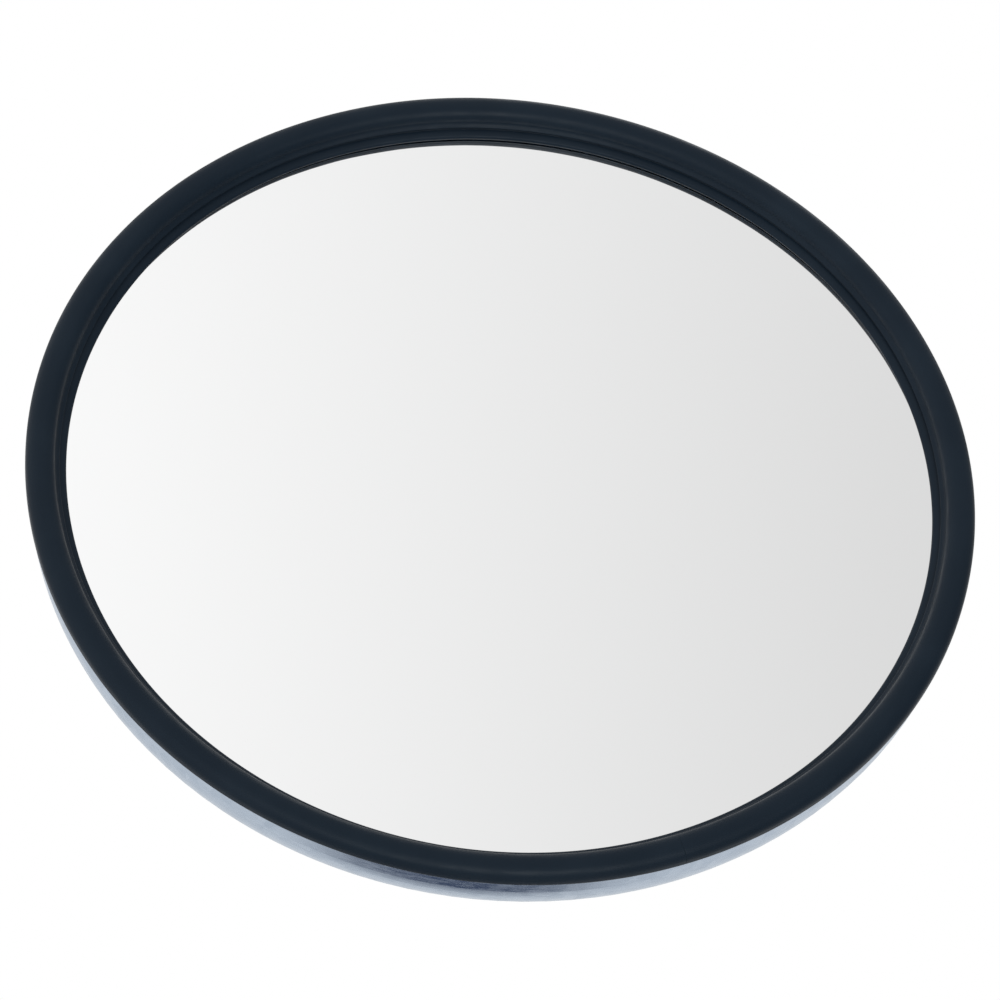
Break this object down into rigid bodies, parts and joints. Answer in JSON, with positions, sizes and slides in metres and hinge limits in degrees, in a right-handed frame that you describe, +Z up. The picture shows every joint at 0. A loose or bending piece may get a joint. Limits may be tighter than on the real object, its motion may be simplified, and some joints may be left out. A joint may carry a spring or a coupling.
{
  "type": "convex security mirror",
  "caption": "Round convex shop security mirror: glass lens, rubber edge trim and steel back pan on a short wall bracket that pans and tilts.",
  "frame": {"origin": "centre of the wall plate's back face, on the wall", "axes": "+Z up, +Y into the wall, the mirror faces -Y"},
  "size_m": [0.3048, 0.1118, 0.3048],
  "materials": {
    "mirror": "silvered convex glass",
    "rubber": "satin black extrusion",
    "galvanised_steel": "satin galvanised",
    "bracket_steel": "zinc plated",
    "fastener_steel": "bright zinc",
    "cast_aluminium": "as cast, tumbled",
    "nylon": "natural nylon"
  },
  "bodies": {
    "wall_bracket": {"wall_plate": "bracket_steel", "clevis_rivets": "fastener_steel", "wall_clevis": "bracket_steel", "pan_bolt": "fastener_steel", "pan_flat_washer": "fastener_steel", "pan_spring_washer": "fastener_steel"},
    "swivel": {"swivel_knuckle": "cast_aluminium", "pan_bushes": "nylon", "tilt_bushes": "nylon"},
    "mirror_head": {"mirror_glass": "mirror", "edge_trim": "rubber", "back_pan": "galvanised_steel", "stiffener_plate": "galvanised_steel", "clevis_screws": "fastener_steel", "clevis_lock_washers": "fastener_steel", "clevis_nuts": "fastener_steel", "mirror_clevis": "bracket_steel", "tilt_bolt": "fastener_steel", "tilt_flat_washer": "fastener_steel", "tilt_spring_washer": "fastener_steel"},
    "pan_wing_nut": {"pan_wing_nut": "fastener_steel"},
    "tilt_wing_nut": {"tilt_wing_nut": "fastener_steel"}
  },
  "joints": [
    {"name": "pan", "type": "hinge", "parent": "wall_bracket", "child": "swivel", "pos_m": [0, -0.0235, 0], "axis": [0, 0, 1], "range_deg": [-25, 25]},
    {"name": "tilt", "type": "hinge", "parent": "swivel", "child": "mirror_head", "pos_m": [0, -0.0505, 0], "axis": [1, 0, 0], "range_deg": [-20, 25]},
    {"name": "pan_wing_nut_turn", "type": "hinge", "parent": "wall_bracket", "child": "pan_wing_nut", "pos_m": [0, -0.0235, 0], "axis": [0, 0, 1], "range_deg": [0, 180]},
    {"name": "tilt_wing_nut_turn", "type": "hinge", "parent": "mirror_head", "child": "tilt_wing_nut", "pos_m": [0, -0.0505, 0], "axis": [1, 0, 0], "range_deg": [0, 180]}
  ]
}
